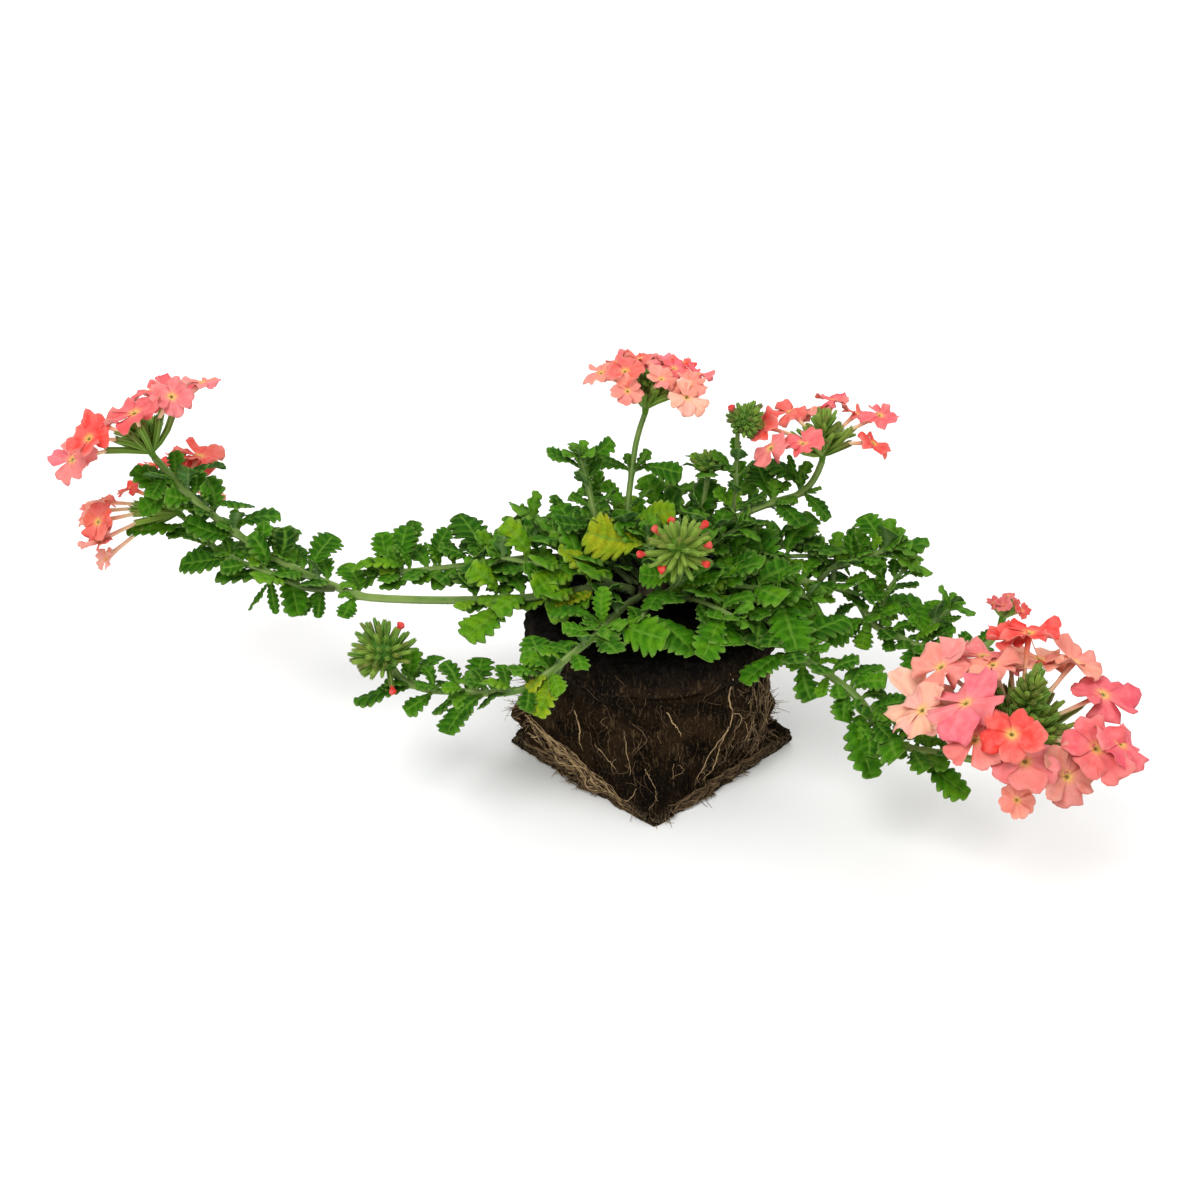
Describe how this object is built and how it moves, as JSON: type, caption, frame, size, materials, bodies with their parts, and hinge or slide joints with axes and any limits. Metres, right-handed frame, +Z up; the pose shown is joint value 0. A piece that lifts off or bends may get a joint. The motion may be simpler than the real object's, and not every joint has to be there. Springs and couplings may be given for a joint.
{
  "type": "trailing verbena plant with bare root ball",
  "caption": "Trailing bedding plant lifted from its pot: square-footed root ball, long leafy stems, toothed leaves in pairs, and domed heads of coral and peach five-petalled florets.",
  "frame": {"origin": "middle of the flat square foot of the root ball, on the surface that it stands on", "axes": "+Z up through the root ball; +X along the spread of the stems, to the viewer's right in the picture; +Y away from the viewer"},
  "size_m": [0.363, 0.1664, 0.1493],
  "materials": {
    "root_ball": "rough, damp dark brown peat held by fine tan roots",
    "soil": "crumbly, nearly black peat",
    "roots": "matt, fibrous, pale tan",
    "crown": "woody, matt, brown-green",
    "stem": "satin, finely hairy, pale olive green",
    "leaf": "satin, crinkled, veined, mid to dark green",
    "calyx": "ribbed, finely hairy, green with a purple tint",
    "petals": "soft, matt, coral red to peach with a yellow-green eye",
    "buds": "matt green spikes, some tipped coral red"
  },
  "bodies": {
    "root": {"root_ball": "root_ball", "soil_top": "soil", "root_bundle_left_low": "roots", "root_bundle_left_high": "roots", "root_bundle_right": "roots", "crown": "crown", "stem_left": "stem", "stem_left_rear": "stem", "stem_front_left": "stem", "stem_rear_left": "stem", "stem_rear_tall": "stem", "stem_rear_middle": "stem", "stem_rear_right": "stem", "stem_front_up": "stem", "stem_right": "stem", "stem_front_right": "stem", "branch_left": "stem", "branch_right_tip": "stem", "branch_rear_bud": "stem", "leaves_left_1": "leaf", "leaves_left_2": "leaf", "leaves_left_3": "leaf", "leaves_left_4": "leaf", "leaves_left_5": "leaf", "leaves_left_rear_1": "leaf", "leaves_left_rear_2": "leaf", "leaves_left_rear_3": "leaf", "leaves_branch_left": "leaf", "leaves_front_left_1": "leaf", "leaves_front_left_2": "leaf", "leaves_front_left_3": "leaf", "leaves_front_left_4": "leaf", "leaves_rear_left_1": "leaf", "leaves_rear_left_2": "leaf", "leaves_rear_tall": "leaf", "leaves_rear_right_1": "leaf", "leaves_rear_right_2": "leaf", "leaves_right_1": "leaf", "leaves_right_2": "leaf", "leaves_right_3": "leaf", "leaves_right_tip": "leaf", "leaves_front_right_1": "leaf", "leaves_front_right_2": "leaf", "leaves_front_right_3": "leaf", "leaves_front_right_4": "leaf", "calyx_far_left": "calyx", "calyx_behind_left": "calyx", "calyx_rear_tall": "calyx", "calyx_rear_right": "calyx", "calyx_front_right": "calyx", "florets_far_left": "petals", "florets_behind_left": "petals", "florets_rear_tall": "petals", "florets_rear_right": "petals", "florets_front_right": "petals", "young_head": "buds", "bud_head_front_left": "buds", "bud_head_front_up": "buds", "bud_head_rear": "buds", "bud_tip_rear_middle": "buds"}
  },
  "joints": []
}
